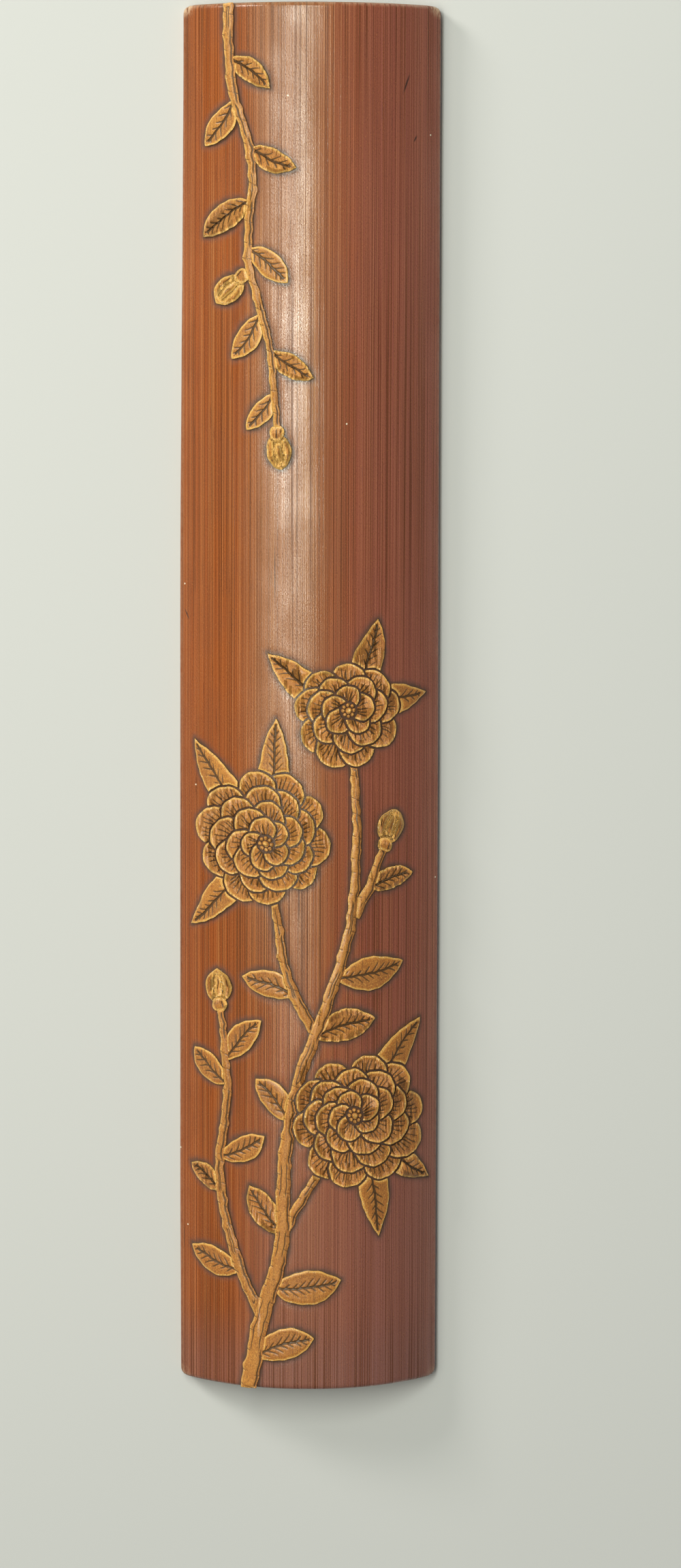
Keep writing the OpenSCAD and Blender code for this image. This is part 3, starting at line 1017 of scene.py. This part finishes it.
def swell_knots(found):
    """Pushes the sides of a stem out into uneven knots."""
    outward = found.normals[found.nearest] * (1, 1, 0)
    outward /= np.maximum(np.hypot(outward[:, 0], outward[:, 1]), 0.2)[:, None]
    side = np.sign(outward[:, 0])
    place = found.flat[found.nearest, 1] / knot_spacing + 0.31 * side
    number = np.round(place)
    knot = groove((place - number) * knot_spacing, knot_length)
    knot *= 0.15 + 0.13 * np.sin(number * 2.7 + side)
    found.points += outward * (knot * (1 - ease(0.2, 1.3, found.inset)))[:, None]


def carve_stem(piece):
    """Rounds a stem over, swells its knots and cuts its knife lines and nicks."""
    like_clay(piece, "stem")
    found = survey(piece)
    swell_knots(found)
    rounded = ease(0.0, 1.1, found.inset)
    right = found.normals[found.nearest, 0] > 0.15
    run = found.flat[:, 1]
    broken = 0.5 + 0.5 * np.sin(0.33 * run + 1.3 * np.sin(0.11 * run))
    line = groove(found.inset - 0.42, 0.10) * right * ease(0.2, 0.55, broken)
    nick_phase = run * 0.62 + found.flat[:, 0] * 0.25
    nick_number = np.round(nick_phase)
    nick = groove(nick_phase - nick_number, 0.055)
    nick *= (np.sin(nick_number * 2.4) > 0.35) * (1 - ease(0.5, 1.0, found.inset))
    stroke = groove(found.inset - 0.85, 0.09) * ease(0.45, 0.75, 1 - broken)
    cut = np.maximum(np.maximum(line, 0.7 * nick), 0.8 * stroke)
    height = skin_height - stem_fall * (1 - rounded) ** 1.5 - stem_cut_depth * cut
    # Painted highlight and shade: the bright rim colour goes only on the left edge of a stem, the thinned,
    # darker colour on its right edge.
    rim = 0.75 * (1 - ease(0.15, 0.5, found.inset)) * ~right + 0.10 * rounded
    thin = 0.35 * (1 - rounded) * right + 0.22
    finish_carving(piece, found, height, cut, rim, thin)


print("stems are ready to carve")

# %% The axis and the rib of a leaf


def long_axis(flat):
    """Middle and long direction of a set of unrolled points."""
    middle = flat.mean(axis=0)
    directions = np.linalg.eigh(np.cov((flat - middle).T))[1]
    return middle, directions[:, 1]


def rib_floor(piece):
    """A search tree of the faces on the floor of a leaf's engraved rib."""
    points = get_points(piece)
    rise = axis_distance(points) - ground_radius
    on_floor = (rise > 0.12) & (rise < skin_height - 0.12)
    faces = [list(face.vertices) for face in piece.data.polygons]
    faces = [face for face in faces if all(on_floor[index] for index in face)]
    return BVHTree.FromPolygons([tuple(point) for point in points], faces) if faces else None


print("leaves have an axis and a rib")

# %% Carve a leaf
leaf_fall = 0.14
low_half_fall = 0.13
vein_depth = 0.14
no_rib = 9.0


def carve_leaf(piece, owner_flat, dice):
    """Swells a leaf between its outline and its rib, and cuts the rib and the veins."""
    floor_tree = rib_floor(piece)
    like_clay(piece, "leaf")
    found = survey(piece)
    middle, lead = long_axis(found.flat)
    far = (found.flat - middle) @ lead
    ends = [found.flat[far.argmin()], found.flat[far.argmax()]]
    to_owner = [np.hypot(*(owner_flat - end).T).min() for end in ends]
    if to_owner[0] > to_owner[1]:
        lead = -lead
    run, aside = lay_along(found.flat, middle, lead)

    to_rib = np.full(len(run), no_rib)
    if floor_tree:
        for index, point in enumerate(found.points):
            to_rib[index] = floor_tree.find_nearest(point)[3]
    on_rib = to_rib[found.outline] < 0.5
    border = found.outline[~on_rib]
    inset = nearest_on(found.flat, border)[0]
    rib_points = found.flat[found.outline[on_rib]]
    rib_aside = aside.mean()
    if len(rib_points) > 5:
        rib_run, rib_side = lay_along(rib_points, middle, lead)
        bend = np.polyfit(rib_run, rib_side, 2)
        rib_aside = np.polyval(bend, np.clip(run, rib_run.min(), rib_run.max()))
    from_rib = aside - rib_aside

    swell = ease(0.0, 1.0, inset) * ease(0.0, 0.8, to_rib)
    low_half = ease(-0.4, 1.2, from_rib * dice.choice([-1, 1]))
    height = skin_height - leaf_fall * (1 - swell) - low_half_fall * low_half * ease(0.3, 1.2, inset)
    pitch = dice.uniform(1.5, 1.9)
    away = np.abs(from_rib)
    half = np.sign(from_rib)
    chevron = (run - 1.25 * away + 0.10 * away ** 2) / pitch + 0.25 * half
    number = np.round(chevron)
    width = 0.06 + 0.07 * (1 - ease(0.2, 2.0, away))
    vein = groove((chevron - number) * pitch * 0.62, width)
    length = 1.75 + 0.55 * np.sin(number * 5.1 + half * 1.7)
    vein *= ease(0.30, 0.65, inset) * (1 - ease(length * 0.7, length, away))
    rib = 1 - ease(0.16, 0.42, to_rib)
    cut = np.maximum(rib, 0.85 * vein)
    rim = 1 - ease(0.18, 0.48, inset)
    thin = 0.65 * ease(0.4, 0.8, inset) * (0.45 + 0.55 * low_half)
    finish_carving(piece, found, height - vein_depth * vein, cut, rim, thin)


print("leaves are ready to carve")

# %% Carve a bud
bud_fall = 0.20
bud_cut_depth = 0.13
bud_cut_spacing = 0.85


def carve_bud(piece):
    """Rounds a bud and draws strokes along it."""
    like_clay(piece, "bud")
    found = survey(piece)
    run, aside = lay_along(found.flat, *long_axis(found.flat))
    swell = ease(0.0, 1.1, found.inset)
    number = np.round(aside / bud_cut_spacing)
    wave = 0.12 * np.sin(run * 0.9 + number)
    cut = groove(aside + wave - number * bud_cut_spacing, 0.10)
    cut *= ease(0.35, 0.7, found.inset) * ease(-0.2, 0.4, np.sin(run * 0.7 + number * 2.2))
    height = skin_height - bud_fall * (1 - swell) - bud_cut_depth * cut
    rim = 1 - ease(0.2, 0.7, found.inset)
    thin = 0.35 * ease(0.4, 1.2, found.inset)
    finish_carving(piece, found, height, cut, rim, thin)


print("buds are ready to carve")

# %% [markdown]
# ## The finish of the skin
# Bamboo skin turns from straw to honey gold with handling. Rims that hands reach are the brightest, and
# their pale gold is partly a painted highlight, with small painted glints on them. Scooped places show
# browner fibre, knife strokes hold dark wax and dirt, and the foot of every piece is dark from dirt and
# painted shade. Painted shade also makes the skin darker and more orange to the right and towards the
# foot. The carving stored how far each point is cut, scooped or rubbed, so the finish mixes its colours
# by those numbers and by place, with a little fibre grain and a scatter of dark pits on top.

# %% Colours of the skin


def skin_colour(tree, place, fibres, mottle, stipple):
    """Honey gold with bright rims that are partly a painted highlight, painted glints, brown scoops, dark
    cuts, a foot of dirt and painted shade, painted shade to the right and foot, and a scatter of pits.
    """
    pits = grain(tree, place, (3800, 1900, 3800), 1.0)
    rim = attribute(tree, "rim")
    across, along, _ = add_node(tree, "ShaderNodeSeparateXYZ", {"Vector": place}).outputs
    # Painted shade: the skin and its rims turn darker and more orange to the right and towards the foot.
    to_right = window(tree, across, -0.010, 0.020, 0.0, 0.5)
    to_foot = window(tree, along, 0.060, -0.110, 0.0, 0.45)
    painted_shade_right_and_foot = maths(tree, "MAXIMUM", to_right, to_foot)

    bright = mix_colour(tree, painted_shade_right_and_foot, (0.82, 0.51, 0.150), (0.76, 0.40, 0.095))
    colour = mix_colour(tree, window(tree, mottle, 0.3, 0.7), (0.46, 0.184, 0.036), (0.62, 0.290, 0.066))
    layers = {
        "painted_shade_right_and_foot": ((0.42, 0.145, 0.034), 1.0, painted_shade_right_and_foot),
        "thin": ((0.290, 0.117, 0.044), 0.64, attribute(tree, "thin")),
        "fibres": ((0.195, 0.080, 0.030), 0.48, window(tree, fibres, 0.52, 0.34)),
        "light grain": ((0.80, 0.44, 0.100), 0.55, window(tree, stipple, 0.54, 0.70)),
        # painted highlight: the rims take a pale gold, partly the rubbed skin, partly a painted highlight
        "rim": (bright, 0.80, rim),
        "dark grain": ((0.175, 0.074, 0.032), 0.50, window(tree, stipple, 0.44, 0.30)),
        "pits": ((0.10, 0.048, 0.026), 0.6, window(tree, pits, 0.62, 0.72)),
        # painted highlight: small pale glints on the rims
        "painted_glints": ((0.95, 0.82, 0.52), 0.8, window(tree, pits, 0.36, 0.27), rim),
        "cuts": ((0.105, 0.056, 0.024), 1.0, window(tree, attribute(tree, "cut"), 0.15, 0.70)),
        # painted shade with dirt: the foot of every piece darkened where it meets the ground
        "foot": ((0.100, 0.057, 0.029), 0.92, attribute(tree, "foot")),
    }
    return lay(tree, colour, layers)


print("the skin has its colours")

# %% Skin material


def skin_finish():
    """Honey gold skin, rubbed smooth, with a nap of fibres."""
    material, tree, shader = start_material("honey_skin")
    place = object_place(tree)
    fibres = grain(tree, place, (4200, 30, 2000), 2.0, 0.6)
    mottle = grain(tree, place, (420, 300, 420), 3.0, 0.6)
    stipple = grain(tree, place, (4300, 3000, 4300), 2.0, 0.6, turn=0.5)
    gloss = window(tree, mottle, 0.3, 0.7, 0.44, 0.30)
    matt = times(tree, attribute(tree, "thin"), 0.8)
    nap = maths(tree, "ADD", times(tree, fibres, 0.5), stipple)
    look = {
        "Base Color": skin_colour(tree, place, fibres, mottle, stipple),
        "Roughness": mix_colour(tree, matt, gloss, (0.65, 0.65, 0.65)),
        "Specular IOR Level": 0.25,
        "Coat Weight": 0.25,
        "Coat Roughness": 0.22,
        "Normal": tilt(tree, nap, 0.6, 0.00005),
    }
    plug_in(tree, shader, look)
    return material


skin_material = skin_finish()
print("skin finish has", len(skin_material.node_tree.nodes), "nodes")

# %% [markdown]
# ## Carving the spray
# Now every node of the spray is copied, parted into its loose pieces, carved by its kind and joined
# again, so that one CAD node stays one piece of the scene. The kind is read from the node's name, and
# the middle of a bloom from its stamens.

# %% The middles of the blooms
middles = {}
for name in skin_nodes:
    if name.endswith("_stamens"):
        stamens = node_points(name)[:, :2]
        bloom = name.removesuffix("_stamens")
        middles[bloom] = (stamens.min(axis=0) + stamens.max(axis=0)) / 2
print("blooms:", {bloom: middle.round(1).tolist() for bloom, middle in middles.items()})

# %% Carve one node


def carve_piece(piece, node, dice):
    """Carves one loose piece by the kind of its node."""
    if node.endswith("_petals"):
        side, _, ring, _ = node.split("_")
        carve_petal(piece, middles[side + "_bloom"], ring, dice)
    elif node.endswith("_stamens"):
        carve_stamen(piece)
    elif "_leaf_" in node:
        owner = node.split("_leaf_")[0]
        owner = owner + "_stamens" if owner in middles else owner
        carve_leaf(piece, unrolled(node_points(owner)), dice)
    elif "_bud_" in node:
        carve_bud(piece)
    else:
        carve_stem(piece)


def carve_node(node, seed):
    """Copies, parts, carves and joins a node, and puts it in the frame."""
    dice = np.random.default_rng(seed)
    pieces = split_loose(island_copy(node))
    for piece in pieces:
        carve_piece(piece, node, dice)
    island = pieces[0]
    only(island)
    for piece in pieces:
        piece.select_set(True)
    if len(pieces) > 1:
        bpy.ops.object.join()
    island.name = node + "_carved"
    island.data.transform(Matrix.Scale(MM, 4))
    island.data.materials.append(skin_material)
    bpy.ops.object.shade_smooth()
    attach(island, "root")
    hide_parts(node)
    return island


islands = [carve_node(node, seed) for seed, node in enumerate(skin_nodes)]
print("carved", len(islands), "nodes,", sum(len(i.data.polygons) for i in islands), "faces")
